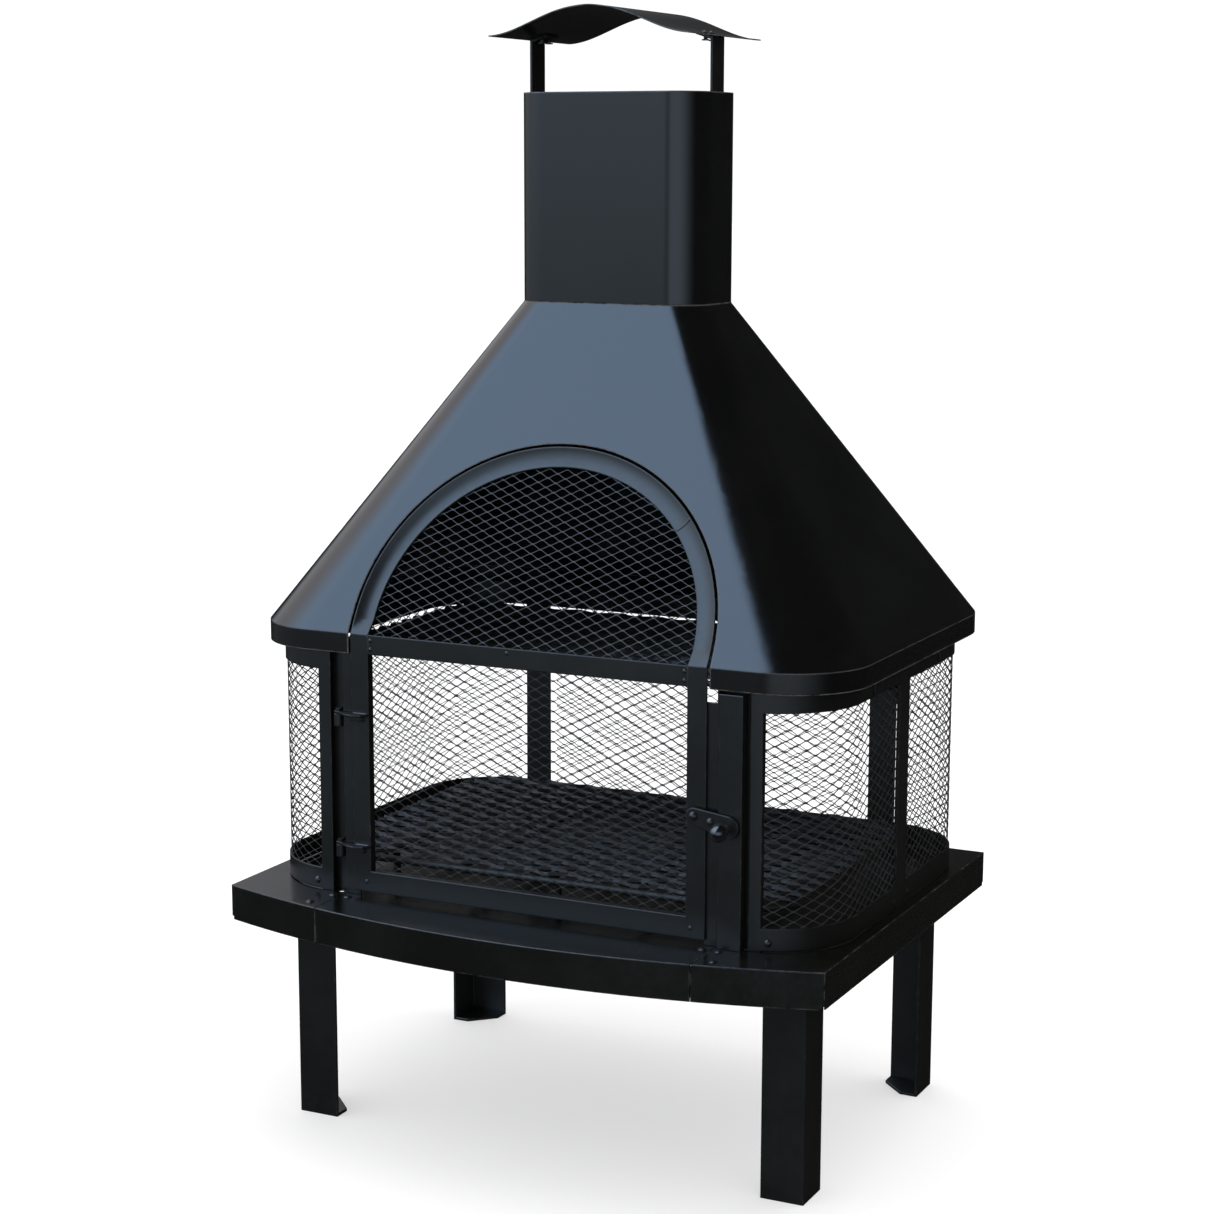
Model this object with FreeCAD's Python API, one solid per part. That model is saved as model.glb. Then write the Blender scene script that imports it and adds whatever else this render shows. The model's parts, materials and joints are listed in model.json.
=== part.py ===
import FreeCAD, Part
import math
import os
os.makedirs("parts", exist_ok=True)

# Sheet-steel wood-burning chiminea: a raised hearth on four angle legs, a mesh-sided firebox with an
# arched door, a pyramid hood with a square chimney and a wavy rain cap.
# Millimetres, +Z up, front faces -Y. Origin: on the ground, at the middle of the overall outline.
# The dimensions below are taken from the middle of the chimney; CENTRE_SHIFT moves the finished
# pieces to the origin, because the bowed hearth reaches further forward than the hood does back.

V = FreeCAD.Vector

# ---- hearth ------------------------------------------------------------------------------------------
HEARTH_X = 328.0            # half width
HEARTH_FRONT = -255.0       # front corners
HEARTH_REAR = 214.0
HEARTH_BOW = 53.0           # how far the front edge bows out past its corners
HEARTH_TOP = 258.0
HEARTH_SKIRT = 36.5         # depth of the turned-down edge
HEARTH_T = 1.5
CENTRE_SHIFT = (HEARTH_BOW - HEARTH_FRONT - 230.0) / 2
SEAM_X = 206.0              # the two seams between the three hearth panels
SEAM_GAP = 0.8

# ---- legs --------------------------------------------------------------------------------------------
LEG_X = 287.0               # outer corners of the leg angles
LEG_FRONT = -196.5
LEG_REAR = 175.5
LEG_W = 45.0
LEG_T = 3.0
LEG_PLATE_T = 3.0
LEG_CROP = 26.0             # chamfer on the inner corner of the foot plates

# ---- firebox screens ---------------------------------------------------------------------------------
BODY_X = 315.0
BODY_FRONT = -226.5
BODY_REAR = 208.0
BODY_R = 87.0
SHEET = 1.5
MESH_T = 1.2
BAND_LOW0, BAND_LOW1 = 259.0, 281.0
BAND_TOP0, BAND_TOP1 = 488.5, 514.0
STILE_W = 14.0
SIDE_SEAM_Y = -16.0         # where front and rear screens meet on each side
REAR_SEAM_X = 212.0         # where the corner screens meet the rear screen
STILE_LEFT = (-236.0, -222.0)
STILE_RIGHT = (238.0, 250.0)
POST_TOP = 522.0

# ---- hood and chimney --------------------------------------------------------------------------------
HOOD_X = 327.5
HOOD_Y = 230.0
HOOD_R = 81.0
HOOD_Z0 = 508.0             # bottom of the vertical lip
HOOD_Z1 = 528.5             # top of the lip, where the slopes begin
HOOD_Z2 = 852.5             # where the slopes meet the chimney
HOOD_T = 1.2
FLUE_X = 103.0
FLUE_Y = 57.5
FLUE_R = 36.0
FLUE_TOP = 1061.0
FLUE_T = 1.5
COLLAR_H = 24.0

# ---- rain cap ----------------------------------------------------------------------------------------
CAP_X = 109.0
CAP_Y0, CAP_Y1 = -93.0, 83.0
CAP_TIP_Z = 1115.0
CAP_CREST_Z = 1143.0
CAP_T = 1.2
STRAP_W = 28.0
STRAP_T = 2.5
STRAP_Y = -5.5
STRAP_Z0 = 985.0

# ---- door --------------------------------------------------------------------------------------------
DOOR_X = 195.0              # half width of the door
DOOR_Z0 = 263.5
DOOR_BAR = 20.0             # visible width of the frame bars
DOOR_T = 2.0
DOOR_FRONT = -230.0
DOOR_FLANGE = 9.0           # depth of the inward return that carries the mesh
FLANGE_T = 1.5
RAIL_TOP = 285.0
ARCH_S = 17.0               # arch centre, measured up the slope from the bend
ARCH_DISH = 4.6             # how far the arch bar is hollowed from its outer to its inner edge
ARCH_RIM = 3.0              # flat inner rim of the arch bar, where the upper mesh is welded on
OPENING_X = 198.0           # half width of the cut-out in the hood
SLOPE = math.atan2(HOOD_Y - FLUE_Y, HOOD_Z2 - HOOD_Z1)

# ---- hinges and latch --------------------------------------------------------------------------------
HINGE_X, HINGE_Y = -214.0, -224.0
HINGE_Z = (309.0, 445.0)    # underside of the lower and the upper hinge plate
HINGE_PLATE_T = 2.5
PIN_R = 2.5
BARREL_R = 5.0
BARREL_H = 13.0
RUNNING = 0.05              # radial clearance of turning pins
LATCH_X, LATCH_Z = 185.0, 386.0
LEVER_END_X, LEVER_END_Z = 219.5, 378.0
LEVER_Y0, LEVER_Y1 = -236.5, -234.0


def box(x0, x1, y0, y1, z0, z1):
    return Part.makeBox(x1 - x0, y1 - y0, z1 - z0, V(x0, y0, z0))


def cyl(r, h, at, along=(0, 0, 1)):
    return Part.makeCylinder(r, h, V(*at), V(*along))


def prism(points, z0, z1):
    wire = Part.makePolygon([V(x, y, z0) for x, y in points] + [V(points[0][0], points[0][1], z0)])
    return Part.Face(wire).extrude(V(0, 0, z1 - z0))


def round_wire(x0, x1, y0, y1, r, z):
    k = r * (1 - math.sqrt(0.5))
    p = [V(x0 + r, y0, z), V(x1 - r, y0, z), V(x1, y0 + r, z), V(x1, y1 - r, z),
         V(x1 - r, y1, z), V(x0 + r, y1, z), V(x0, y1 - r, z), V(x0, y0 + r, z)]
    m = [V(x1 - k, y0 + k, z), V(x1 - k, y1 - k, z), V(x0 + k, y1 - k, z), V(x0 + k, y0 + k, z)]
    edges = []
    for i in range(4):
        edges.append(Part.LineSegment(p[2 * i], p[2 * i + 1]).toShape())
        edges.append(Part.Arc(p[2 * i + 1], m[i], p[(2 * i + 2) % 8]).toShape())
    return Part.Wire(edges)


def round_block(x0, x1, y0, y1, r, z0, z1):
    return Part.Face(round_wire(x0, x1, y0, y1, r, z0)).extrude(V(0, 0, z1 - z0))


def round_tube(x0, x1, y0, y1, r, t, z0, z1):
    outer = round_block(x0, x1, y0, y1, r, z0, z1)
    return outer.cut(round_block(x0 + t, x1 - t, y0 + t, y1 - t, r - t, z0 - 1, z1 + 1))


def fuse(shapes):
    out = shapes[0]
    if len(shapes) > 1:
        out = out.multiFuse(shapes[1:])
    return out.removeSplitter()


def save(name, shapes):
    solids = []
    for shape in shapes:
        solids.extend(shape.Solids)
    result = solids[0].copy() if len(solids) == 1 else Part.makeCompound(solids)
    result.translate(V(0, CENTRE_SHIFT, 0))
    result.exportStep("parts/%s.step" % name)


def hex_prism(across, h, at, along=(0, 0, 1)):
    r = across / math.sqrt(3)
    pts = [V(r * math.cos(math.radians(60 * i)), r * math.sin(math.radians(60 * i)), 0) for i in range(6)]
    solid = Part.Face(Part.makePolygon(pts + [pts[0]])).extrude(V(0, 0, h))
    solid.Placement = FreeCAD.Placement(V(*at), FreeCAD.Rotation(V(0, 0, 1), V(*along)))
    return solid


def dome_head(r, h, at, along):
    # A shallow domed head standing on its rim at the given point.
    ball = (r * r + h * h) / (2 * h)
    sphere = Part.makeSphere(ball, V(0, 0, h - ball))
    head = sphere.common(Part.makeBox(4 * r, 4 * r, 2 * h, V(-2 * r, -2 * r, 0)))
    head.Placement = FreeCAD.Placement(V(*at), FreeCAD.Rotation(V(0, 0, 1), V(*along)))
    return head


def through_bolt(x, y, z_top, grip, shank, head):
    # Vertical bolt: domed head on top, shank through the grip, hex nut and a bare end below.
    nut, tail = 4.5, 7.0
    return fuse([dome_head(head, head * 0.45, (x, y, z_top), (0, 0, 1)),
                 cyl(shank, grip + tail, (x, y, z_top - grip - tail)),
                 hex_prism(shank * 3.2, nut, (x, y, z_top - grip - nut))])


# ---- hearth: three panels with turned-down edges -----------------------------------------------------
def hearth_outline(inset, z0, z1):
    half = HEARTH_X
    radius = (half * half + HEARTH_BOW * HEARTH_BOW) / (2 * HEARTH_BOW)
    centre_y = HEARTH_FRONT - HEARTH_BOW + radius
    r = radius - inset
    x = half - inset
    y = centre_y - math.sqrt(r * r - x * x)
    rear = HEARTH_REAR - inset
    edges = [Part.Arc(V(-x, y, z0), V(0, centre_y - r, z0), V(x, y, z0)).toShape(),
             Part.LineSegment(V(x, y, z0), V(x, rear, z0)).toShape(),
             Part.LineSegment(V(x, rear, z0), V(-x, rear, z0)).toShape(),
             Part.LineSegment(V(-x, rear, z0), V(-x, y, z0)).toShape()]
    return Part.Face(Part.Wire(edges)).extrude(V(0, 0, z1 - z0))


hearth = hearth_outline(0, HEARTH_TOP - HEARTH_SKIRT, HEARTH_TOP)
hearth = hearth.cut(hearth_outline(HEARTH_T, HEARTH_TOP - HEARTH_SKIRT - 1, HEARTH_TOP - HEARTH_T))
# Bend-relief nicks at the feet of the four corners.
for sx in (-1, 1):
    for cy in (HEARTH_FRONT, HEARTH_REAR):
        nick = box(-2.5, 2.5, -2.5, 2.5, 0, 4.0)
        nick.translate(V(sx * HEARTH_X, cy, HEARTH_TOP - HEARTH_SKIRT - 0.5))
        hearth = hearth.cut(nick)
# Spare round holes at the feet of the two door posts.
POST_HOLES = [(-214.5, -223.0, 3.6), (235.8, -222.0, 3.4)]
for hx, hy, hr in POST_HOLES:
    hearth = hearth.cut(cyl(hr, 10, (hx, hy, HEARTH_TOP - 5)))

# Bolts: two per leg, and a row along each seam into the rails underneath.
LEG_BOLTS = []
for sx in (-1, 1):
    for ly, sy in ((LEG_FRONT, 1), (LEG_REAR, -1)):
        LEG_BOLTS.append((sx * (LEG_X - 13), ly + sy * 29))
        LEG_BOLTS.append((sx * (LEG_X - 29), ly + sy * 13))
SEAM_BOLTS = []
for sx in (-1, 1):
    for off, by in ((16, -271.0), (-9, -240.0), (8, -240.0), (14, 150.0), (-9, 190.0)):
        SEAM_BOLTS.append((sx * (SEAM_X + off), by))
M5 = 2.5
for bx, by in LEG_BOLTS + SEAM_BOLTS:
    hearth = hearth.cut(cyl(M5, 10, (bx, by, HEARTH_TOP - 5)))
g = SEAM_GAP / 2
save("hearth_left", [hearth.common(box(-400, -SEAM_X - g, -400, 400, 0, 400))])
save("hearth_centre", [hearth.common(box(-SEAM_X + g, SEAM_X - g, -400, 400, 0, 400))])
save("hearth_right", [hearth.common(box(SEAM_X + g, 400, -400, 400, 0, 400))])

# Rails under the seams tie the three panels together.
RAIL_Y0, RAIL_Y1 = -279.0, 209.0
WEB_Y0, WEB_Y1 = -285.3, 212.0      # the web closes the seams in the front and rear skirts from behind
RAIL_WEB = 32.0
under = HEARTH_TOP - HEARTH_T
for name, sx in (("left", -1), ("right", 1)):
    cx = sx * SEAM_X
    rail = fuse([box(cx - 20, cx + 20, RAIL_Y0, RAIL_Y1, under - 2, under),
                 box(cx - 1, cx + 1, WEB_Y0, WEB_Y1, under - RAIL_WEB, under - 1)])
    for bx, by in SEAM_BOLTS:
        rail = rail.cut(cyl(M5, 12, (bx, by, under - 6)))
    # The left flange is cut back around the spare hole.
    rail = rail.cut(box(-230, cx - 2, -233, -200, under - 3, under + 1))
    save("seam_rail_" + name, [rail])
save("seam_bolts", [through_bolt(bx, by, HEARTH_TOP, HEARTH_T + 2, M5, 4.6) for bx, by in SEAM_BOLTS])
save("leg_bolts", [through_bolt(bx, by, HEARTH_TOP, HEARTH_T + LEG_PLATE_T, M5, 4.6)
                   for bx, by in LEG_BOLTS])


# ---- legs: angle irons with a cropped plate at the foot and another under the hearth -----------------
def leg_plate(sx, ly, sy, z0):
    # Inside the angle, with its inner corner cropped at 45 degrees.
    a, b, c = LEG_T, LEG_W, LEG_W - LEG_CROP
    pts = [(a, a), (b, a), (b, c), (c, b), (a, b)]
    pts = [(sx * (LEG_X - u), ly + sy * w) for u, w in pts]
    return prism(pts, z0, z0 + LEG_PLATE_T)


foot_plates, top_plates = [], []
LEG_TOP = under
for name, sx, ly, sy in (("front_left", -1, LEG_FRONT, 1), ("front_right", 1, LEG_FRONT, 1),
                         ("rear_left", -1, LEG_REAR, -1), ("rear_right", 1, LEG_REAR, -1)):
    outline = [(0, 0), (LEG_W, 0), (LEG_W, LEG_T), (LEG_T, LEG_T), (LEG_T, LEG_W), (0, LEG_W)]
    outline = [(sx * (LEG_X - u), ly + sy * w) for u, w in outline]
    save("leg_" + name, [prism(outline, 0, LEG_TOP)])
    foot_plates.append(leg_plate(sx, ly, sy, 0))
    plate = leg_plate(sx, ly, sy, LEG_TOP - LEG_PLATE_T)
    for bx, by in LEG_BOLTS:
        plate = plate.cut(cyl(M5, 12, (bx, by, LEG_TOP - 6)))
    top_plates.append(plate)
save("leg_foot_plates", foot_plates)
save("leg_top_plates", top_plates)


# ---- firebox screens ---------------------------------------------------------------------------------
def body_tube(inset, t, z0, z1):
    return round_tube(-BODY_X + inset, BODY_X - inset, BODY_FRONT + inset, BODY_REAR - inset,
                      BODY_R - inset, t, z0, z1)


SEAT = HEARTH_TOP
bands = body_tube(0, SHEET, BAND_LOW0, BAND_LOW1).fuse(body_tube(0, SHEET, BAND_TOP0, BAND_TOP1))
full = body_tube(0, SHEET, SEAT, BAND_TOP1)
mesh_full = body_tube(SHEET, MESH_T, BAND_LOW0 + 3, BAND_TOP1 - 3)
BIG = 500.0
# name, region kept, stile regions, mesh region
SCREENS = {
    "front_left": (box(-BIG, STILE_LEFT[1], -BIG, SIDE_SEAM_Y, 0, BIG + 200),
                   [box(STILE_LEFT[0], STILE_LEFT[1], -BIG, -200, 0, BIG + 200),
                    box(-BIG, -300, SIDE_SEAM_Y - STILE_W, SIDE_SEAM_Y, 0, BIG + 200)],
                   box(-BIG, STILE_LEFT[0] - 1, -BIG, SIDE_SEAM_Y - 9, 0, BIG + 200)),
    "front_right": (box(STILE_RIGHT[0], BIG, -BIG, SIDE_SEAM_Y, 0, BIG + 200),
                    [box(STILE_RIGHT[0], STILE_RIGHT[1], -BIG, -200, 0, BIG + 200),
                     box(300, BIG, SIDE_SEAM_Y - STILE_W, SIDE_SEAM_Y, 0, BIG + 200)],
                    box(STILE_RIGHT[1] + 1, BIG, -BIG, SIDE_SEAM_Y - 9, 0, BIG + 200)),
    "rear_left": (box(-BIG, -REAR_SEAM_X, SIDE_SEAM_Y, BIG, 0, BIG + 200),
                  [box(-BIG, -300, SIDE_SEAM_Y, SIDE_SEAM_Y + STILE_W, 0, BIG + 200),
                   box(-REAR_SEAM_X - STILE_W, -REAR_SEAM_X, 180, BIG, 0, BIG + 200)],
                  box(-BIG, -REAR_SEAM_X - STILE_W - 9, SIDE_SEAM_Y + 9, BIG, 0, BIG + 200)),
    "rear_right": (box(REAR_SEAM_X, BIG, SIDE_SEAM_Y, BIG, 0, BIG + 200),
                   [box(300, BIG, SIDE_SEAM_Y, SIDE_SEAM_Y + STILE_W, 0, BIG + 200),
                    box(REAR_SEAM_X, REAR_SEAM_X + STILE_W, 180, BIG, 0, BIG + 200)],
                   box(REAR_SEAM_X + STILE_W + 9, BIG, SIDE_SEAM_Y + 9, BIG, 0, BIG + 200)),
    "rear": (box(-REAR_SEAM_X, REAR_SEAM_X, 150, BIG, 0, BIG + 200),
             [box(-REAR_SEAM_X, -REAR_SEAM_X + STILE_W, 180, BIG, 0, BIG + 200),
              box(REAR_SEAM_X - STILE_W, REAR_SEAM_X, 180, BIG, 0, BIG + 200)],
             box(-REAR_SEAM_X + STILE_W + 9, REAR_SEAM_X - STILE_W - 9, 150, BIG, 0, BIG + 200)),
}
# Screws through the lower bands beside the stiles: x, y, outward direction.
SCREW_Z = 267.0
side_x = BODY_X


def corner_screw(x):
    # A screw on a rounded front corner, square to the curve.
    side = math.copysign(1, x)
    a = math.asin((abs(x) - BODY_X + BODY_R) / BODY_R)
    y = BODY_FRONT + BODY_R - BODY_R * math.cos(a)
    return (x, y, (side * math.sin(a), -math.cos(a), 0))


SCREEN_SCREWS = [
    corner_screw(STILE_LEFT[0] - 6), corner_screw(STILE_RIGHT[1] + 7),
    (-side_x, SIDE_SEAM_Y - 20, (-1, 0, 0)), (-side_x, SIDE_SEAM_Y + 20, (-1, 0, 0)),
    (side_x, SIDE_SEAM_Y - 20, (1, 0, 0)), (side_x, SIDE_SEAM_Y + 20, (1, 0, 0)),
    (-REAR_SEAM_X + 30, BODY_REAR, (0, 1, 0)), (REAR_SEAM_X - 30, BODY_REAR, (0, 1, 0)),
]
screws, screw_holes = [], []
for sx, sy, d in SCREEN_SCREWS:
    inward = (-d[0], -d[1], -d[2])
    shank = cyl(2.0, 7.0, (sx, sy, SCREW_Z), inward)
    depth = SHEET + MESH_T + 0.12
    nut_at = (sx + inward[0] * depth, sy + inward[1] * depth, SCREW_Z)
    head = dome_head(3.8, 1.9, (sx, sy, SCREW_Z), d)
    screws.append(fuse([head, shank, hex_prism(7.0, 3.0, nut_at, inward)]))
    screw_holes.append(shank)
save("screen_screws", screws)
for name, (region, stiles, mesh_region) in SCREENS.items():
    pieces = [bands.common(region)]
    pieces += [full.common(s).common(region) for s in stiles]
    frame = fuse(pieces)
    mesh = mesh_full.common(mesh_region)
    for hole in screw_holes:
        frame = frame.cut(hole)
        mesh = mesh.cut(hole)
    save("screen_%s_frame" % name, [frame])
    save("screen_%s_mesh" % name, [mesh])

# Posts behind the side and rear seams.
inner = BODY_X - SHEET
for name, sx in (("left", -1), ("right", 1)):
    x0, x1 = sorted((sx * (inner - 4), sx * inner))
    save("side_post_" + name, [box(x0, x1, SIDE_SEAM_Y - 8, SIDE_SEAM_Y + 8, SEAT, POST_TOP)])
    cx = sx * REAR_SEAM_X
    y1 = BODY_REAR - SHEET
    save("rear_post_" + name, [box(cx - 15, cx + 15, y1 - 3, y1, SEAT, POST_TOP)])


# ---- door posts --------------------------------------------------------------------------------------
def folded(points, t, z0, z1):
    # Sheet folded along a plan polyline; t is laid to the left of the travel direction.
    parts = []
    for (ax, ay), (bx, by) in zip(points, points[1:]):
        x0, x1 = min(ax, bx), max(ax, bx)
        y0, y1 = min(ay, by), max(ay, by)
        parts.append(box(x0 - (t / 2), x1 + (t / 2), y0 - (t / 2), y1 + (t / 2), z0, z1))
    return fuse(parts)


h = SHEET / 2
face = BODY_FRONT + SHEET            # back of the screen stiles
web = -217.0 - h
# Hinge post: a flange that laps behind the door edge, an open recess for the barrels, and a foot behind
# the screen stile.
POST_FRONT = -227.0
POST_EDGE = 206.5
HINGE_LAP, LATCH_LAP = 5.0, 2.0      # how far each flange reaches behind the door
hinge_post = folded([(-DOOR_X + HINGE_LAP, POST_FRONT + h), (-POST_EDGE + h, POST_FRONT + h),
                     (-POST_EDGE + h, web), (STILE_LEFT[0] + h, web), (STILE_LEFT[0] + h, face + h)],
                    SHEET, SEAT, POST_TOP)
# The outer wall of each post ends on the inside of the curved screen stile.
fit = SHEET + 0.03
within = round_block(-BODY_X + fit, BODY_X - fit, BODY_FRONT + fit, BODY_REAR, BODY_R - fit, 0, 600)
beyond_left = box(-BIG, STILE_LEFT[1], -BIG, -150, 0, 600).cut(within)
beyond_right = box(STILE_RIGHT[0], BIG, -BIG, -150, 0, 600).cut(within)
save("hinge_post", [hinge_post.cut(beyond_left)])
# Latch post: the mirror-image fold, wider, with a boxed strip in front of it. Its flange stops below
# the lip of the hood.
LATCH_FLANGE_TOP = 495.0
latch_post = folded([(DOOR_X - LATCH_LAP + h, POST_FRONT + h), (POST_EDGE - h, POST_FRONT + h),
                     (POST_EDGE - h, web), (STILE_RIGHT[1] - h, web), (STILE_RIGHT[1] - h, face + h)],
                    SHEET, SEAT, POST_TOP)
latch_post = latch_post.cut(box(DOOR_X - LATCH_LAP - 1, POST_EDGE - SHEET, POST_FRONT - 1,
                                POST_FRONT + SHEET + 1, LATCH_FLANGE_TOP, POST_TOP + 1))
save("latch_post", [latch_post.cut(beyond_right)])
STRIP_X0, STRIP_X1, STRIP_FRONT = 208.7, 233.0, -232.3
latch_strip = folded([(STRIP_X0 + h, web - SHEET), (STRIP_X0 + h, STRIP_FRONT + h),
                      (STRIP_X1 - h, STRIP_FRONT + h), (STRIP_X1 - h, web - SHEET)],
                     SHEET, SEAT, 505.0)
save("latch_strip", [latch_strip])

# Z brackets that carry the hood lip on the top bands.
slope_t = HOOD_T * 1.2
lip_in_x = HOOD_X - slope_t
lip_in_y = HOOD_Y - slope_t
brackets = []
for sx in (-1, 1):
    for y in (-95.0, 95.0):
        a, b = sx * BODY_X, sx * lip_in_x
        x0, x1 = min(a, b), max(a, b)
        foot0, foot1 = sorted((a, a + sx * 2))
        up0, up1 = sorted((b, b - sx * 2))
        brackets.append(fuse([box(x0, x1, y - 12, y + 12, 510, 512),
                              box(foot0, foot1, y - 12, y + 12, 492, 512),
                              box(up0, up1, y - 12, y + 12, 510, 526)]))
for x in (-130.0, 130.0):
    brackets.append(fuse([box(x - 12, x + 12, BODY_REAR, lip_in_y, 510, 512),
                          box(x - 12, x + 12, BODY_REAR, BODY_REAR + 2, 492, 512),
                          box(x - 12, x + 12, lip_in_y - 2, lip_in_y, 510, 526)]))
# At the front the lip all but touches the band, so short spacers do the same job.
lip_gap = round_block(-lip_in_x, lip_in_x, -lip_in_y, lip_in_y, HOOD_R - slope_t, 509, 514)
lip_gap = lip_gap.cut(round_block(-BODY_X, BODY_X, BODY_FRONT, BODY_REAR, BODY_R, 500, 520))
for x0, x1 in ((-249.0, -237.0), (252.0, 264.0)):
    brackets.append(lip_gap.common(box(x0, x1, -BIG, -150, 500, 520)))
save("hood_brackets", brackets)


# ---- hood --------------------------------------------------------------------------------------------
def hood_loft(t):
    low = round_wire(-HOOD_X + t, HOOD_X - t, -HOOD_Y + t, HOOD_Y - t, HOOD_R - t, HOOD_Z1)
    high = round_wire(-FLUE_X + t, FLUE_X - t, -FLUE_Y + t, FLUE_Y - t, FLUE_R - t, HOOD_Z2)
    return Part.makeLoft([low, high], True, True)


shell = hood_loft(0).cut(hood_loft(slope_t))
lip = round_tube(-HOOD_X, HOOD_X, -HOOD_Y, HOOD_Y, HOOD_R, slope_t, HOOD_Z0, HOOD_Z1)
neck = round_tube(-FLUE_X + FLUE_T, FLUE_X - FLUE_T, -FLUE_Y + FLUE_T, FLUE_Y - FLUE_T, FLUE_R - FLUE_T,
                  HOOD_T, HOOD_Z2 - 3.0, HOOD_Z2 + COLLAR_H)
ledge = round_tube(-FLUE_X, FLUE_X, -FLUE_Y, FLUE_Y, FLUE_R, FLUE_T + HOOD_T, HOOD_Z2 - 1.5, HOOD_Z2)
hood = fuse([shell, lip, neck, ledge])

# Frame of the front slope: x to the right, s up the slope, n out of the sheet.
S = V(0, math.sin(SLOPE), math.cos(SLOPE))
N = V(0, -math.cos(SLOPE), math.sin(SLOPE))
O = V(0, DOOR_FRONT, HOOD_Z1)


def on_slope(x, s, n):
    return O + V(x, 0, 0) + S * s + N * n


def arch_block(r, s0, n0, n1):
    # Solid under an arch of radius r, its legs running down to s0.
    pts = [on_slope(-r, s0, n0), on_slope(r, s0, n0), on_slope(r, ARCH_S, n0), on_slope(0, ARCH_S + r, n0),
           on_slope(-r, ARCH_S, n0)]
    edges = [Part.LineSegment(pts[0], pts[1]).toShape(), Part.LineSegment(pts[1], pts[2]).toShape(),
             Part.Arc(pts[2], pts[3], pts[4]).toShape(), Part.LineSegment(pts[4], pts[0]).toShape()]
    return Part.Face(Part.Wire(edges)).extrude(N * (n1 - n0))


hood = hood.cut(arch_block(OPENING_X, -6.0, -25.0, 25.0))
hood = hood.cut(box(-OPENING_X, OPENING_X, -HOOD_Y - 10, -HOOD_Y + 12, HOOD_Z0 - 5, HOOD_Z1 + 1))
save("hood", [hood])

# ---- chimney, straps and rain cap --------------------------------------------------------------------
save("chimney", [round_tube(-FLUE_X, FLUE_X, -FLUE_Y, FLUE_Y, FLUE_R, FLUE_T, HOOD_Z2, FLUE_TOP)])


def cap_height(x):
    # Bell-shaped wave: a round crest, hollow flanks, tips turned out nearly flat.
    u = abs(x) / CAP_X
    wave = 0.85 * 0.5 * (1 + math.cos(math.pi * u ** 1.15)) + 0.15 * (1 - u)
    return CAP_TIP_Z + (CAP_CREST_Z - CAP_TIP_Z) * wave


def cap_curve(offset, reverse=False):
    xs = [-CAP_X + 2 * CAP_X * i / 16.0 for i in range(17)]
    pts = [V(x, CAP_Y0, cap_height(x) + offset) for x in xs]
    if reverse:
        pts.reverse()
    curve = Part.BSplineCurve()
    curve.interpolate(pts)
    return curve.toShape()


top, bottom = cap_curve(0), cap_curve(-CAP_T, True)
ends = [Part.LineSegment(V(CAP_X, CAP_Y0, cap_height(CAP_X)), V(CAP_X, CAP_Y0, cap_height(CAP_X) - CAP_T)),
        Part.LineSegment(V(-CAP_X, CAP_Y0, cap_height(CAP_X) - CAP_T), V(-CAP_X, CAP_Y0, cap_height(CAP_X)))]
cap_face = Part.Face(Part.Wire([top, ends[0].toShape(), bottom, ends[1].toShape()]))
cap = cap_face.extrude(V(0, CAP_Y1 - CAP_Y0, 0))
# Each strap stands inside the chimney wall and turns inward under the cap.
strap_x = FLUE_X - FLUE_T
STRAP_TAB = 16.0
y0, y1 = STRAP_Y - STRAP_W / 2, STRAP_Y + STRAP_W / 2
cap_rivets = []
for name, sx in (("left", -1), ("right", 1)):
    xa, xb = strap_x, strap_x - STRAP_T
    tab_x = xb - STRAP_TAB
    za, zb = cap_height(xa) - CAP_T, cap_height(tab_x) - CAP_T
    pts = [(xa, STRAP_Z0), (xb, STRAP_Z0), (xb, za - STRAP_T - 0.8), (tab_x, zb - STRAP_T), (tab_x, zb + 6),
           (xa, za + 6)]
    wire = Part.makePolygon([V(sx * x, y0, z) for x, z in pts + [pts[0]]])
    strap = Part.Face(wire).extrude(V(0, STRAP_W, 0))
    # Trim the top to the underside of the cap.
    cover_pts = [cap_curve(-CAP_T), Part.makePolygon([V(CAP_X, CAP_Y0, cap_height(CAP_X) - CAP_T),
                                                     V(CAP_X, CAP_Y0, 1200), V(-CAP_X, CAP_Y0, 1200),
                                                     V(-CAP_X, CAP_Y0, cap_height(CAP_X) - CAP_T)])]
    cover = Part.Face(Part.Wire([cover_pts[0]] + cover_pts[1].Edges)).extrude(V(0, CAP_Y1 - CAP_Y0, 0))
    strap = strap.cut(cover)
    rx = sx * (strap_x - STRAP_T - 8)
    rivet_top = cap_height(rx)
    for ry in (STRAP_Y - 8, STRAP_Y + 8):
        shank = cyl(2.0, 9.0, (rx, ry, rivet_top - 7.5))
        cap_rivets.append(fuse([shank, dome_head(4.0, 2.0, (rx, ry, rivet_top + 0.6), (0, 0, 1)),
                                cyl(3.8, 1.2, (rx, ry, rivet_top - 7.5))]))
    for rivet in cap_rivets:
        strap = strap.cut(rivet)
    save("cap_strap_" + name, [strap])
for rivet in cap_rivets:
    cap = cap.cut(rivet)
save("rain_cap", [cap])
save("cap_rivets", cap_rivets)


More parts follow.
